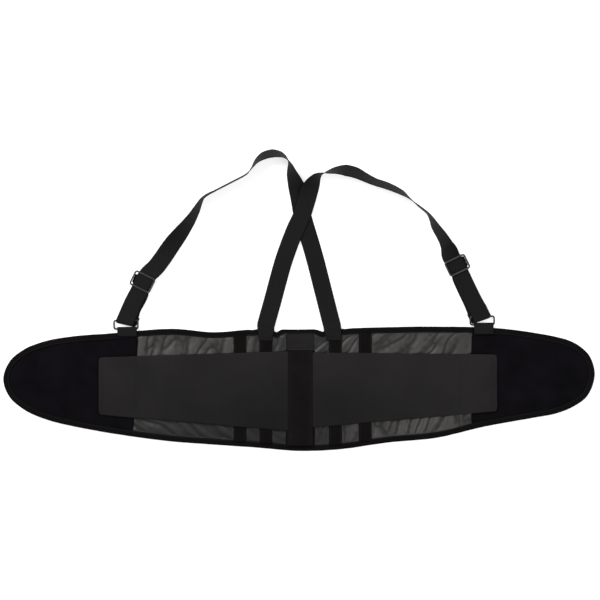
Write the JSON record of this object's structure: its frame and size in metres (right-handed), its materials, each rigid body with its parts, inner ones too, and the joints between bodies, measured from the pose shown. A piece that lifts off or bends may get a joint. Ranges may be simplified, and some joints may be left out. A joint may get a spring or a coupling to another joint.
{
  "type": "lumbar support belt",
  "caption": "Lumbar support belt laid flat: velour closure flaps, elastic side-pull bands, stayed mesh back and a crossed shoulder harness with rings and sliders.",
  "frame": {"origin": "under the middle of the whole object, on the surface it lies on", "axes": "+X along the belt's length, +Y towards the shoulder straps, +Z out of the belt's outer face"},
  "size_m": [1.064, 0.5417, 0.0326],
  "materials": {
    "velour": "brushed loop velour, near black",
    "lining": "smooth knitted lining",
    "mesh": "grey crinkled elastic mesh, satin",
    "centre_panel": "dark spacer fabric",
    "column": "woven wide webbing, matt",
    "binding": "folded edge tape",
    "elastic": "ribbed woven elastic, charcoal",
    "channel": "tubular webbing",
    "stay_steel": "flat spring steel",
    "hook": "moulded hook tape",
    "webbing": "polypropylene webbing, slight sheen",
    "ring_metal": "black coated wire, semi-gloss",
    "slider_metal": "gunmetal coated wire, semi-gloss"
  },
  "bodies": {
    "belt": {"binding_top": "binding", "binding_bottom": "binding", "left_flap_face_inner": "velour", "left_flap_lining_inner": "lining", "right_flap_face_inner": "velour", "right_flap_lining_inner": "lining", "mesh_panel_left": "mesh", "mesh_panel_right": "mesh", "centre_panel": "centre_panel", "centre_column": "column", "stay_channel_left_outer": "channel", "stay_left_outer": "stay_steel", "stay_channel_left_inner": "channel", "stay_left_inner": "stay_steel", "stay_channel_right_inner": "channel", "stay_right_inner": "stay_steel", "stay_channel_right_outer": "channel", "stay_right_outer": "stay_steel", "left_tab": "webbing", "left_strap_anchor": "webbing", "right_tab": "webbing", "right_strap_anchor": "webbing"},
    "left_flap": {"left_flap_face_outer": "velour", "left_flap_lining_outer": "lining", "binding_left_flap": "binding"},
    "left_band": {"left_band": "elastic", "left_band_hook": "hook"},
    "left_ring": {"left_ring": "ring_metal"},
    "left_slider": {"left_slider": "slider_metal", "left_slider_tongue": "webbing"},
    "right_flap": {"right_flap_face_outer": "velour", "right_flap_lining_outer": "lining", "binding_right_flap": "binding", "closure_hook_patch": "hook"},
    "right_band": {"right_band": "elastic", "right_band_hook": "hook"},
    "right_ring": {"right_ring": "ring_metal"},
    "right_slider": {"right_slider": "slider_metal", "right_slider_tongue": "webbing"},
    "harness": {"left_strap": "webbing", "right_strap": "webbing"}
  },
  "joints": [
    {"name": "left_flap_fold", "type": "hinge", "parent": "belt", "child": "left_flap", "pos_m": [-0.372, -0.145, 0], "axis": [0, -1, 0], "range_deg": [0, 160]},
    {"name": "right_flap_fold", "type": "hinge", "parent": "belt", "child": "right_flap", "pos_m": [0.365, -0.14, 0], "axis": [0, 1, 0], "range_deg": [0, 160]},
    {"name": "left_band_peel", "type": "hinge", "parent": "belt", "child": "left_band", "pos_m": [-0.02215, -0.16, 0.009], "axis": [0, 1, 0], "range_deg": [0, 150]},
    {"name": "right_band_peel", "type": "hinge", "parent": "belt", "child": "right_band", "pos_m": [0.02715, -0.16, 0.009], "axis": [0, 1, 0], "range_deg": [-150, 0]},
    {"name": "harness_fold", "type": "hinge", "parent": "belt", "child": "harness", "pos_m": [0.00925, -0.04805, 0.0042], "axis": [0.9999, 0.0117, 0], "range_deg": [0, 90]},
    {"name": "left_ring_swivel", "type": "hinge", "parent": "belt", "child": "left_ring", "pos_m": [-0.311, -0.0518, 0.0042], "axis": [0.9999, 0.0117, 0], "range_deg": [0, 90]},
    {"name": "right_ring_swivel", "type": "hinge", "parent": "belt", "child": "right_ring", "pos_m": [0.3295, -0.0443, 0.0042], "axis": [0.9999, 0.0117, 0], "range_deg": [0, 90]},
    {"name": "left_slider_slide", "type": "slide", "parent": "harness", "child": "left_slider", "axis": [0.4067, 0.9135, 0], "range_m": [-0.045, 0.003]},
    {"name": "right_slider_slide", "type": "slide", "parent": "harness", "child": "right_slider", "axis": [-0.4305, 0.9026, 0], "range_m": [-0.045, 0.003]}
  ],
  "couplings": [
    {"joint": "left_ring_swivel", "follows": "harness_fold", "ratio": 1},
    {"joint": "right_ring_swivel", "follows": "harness_fold", "ratio": 1}
  ]
}
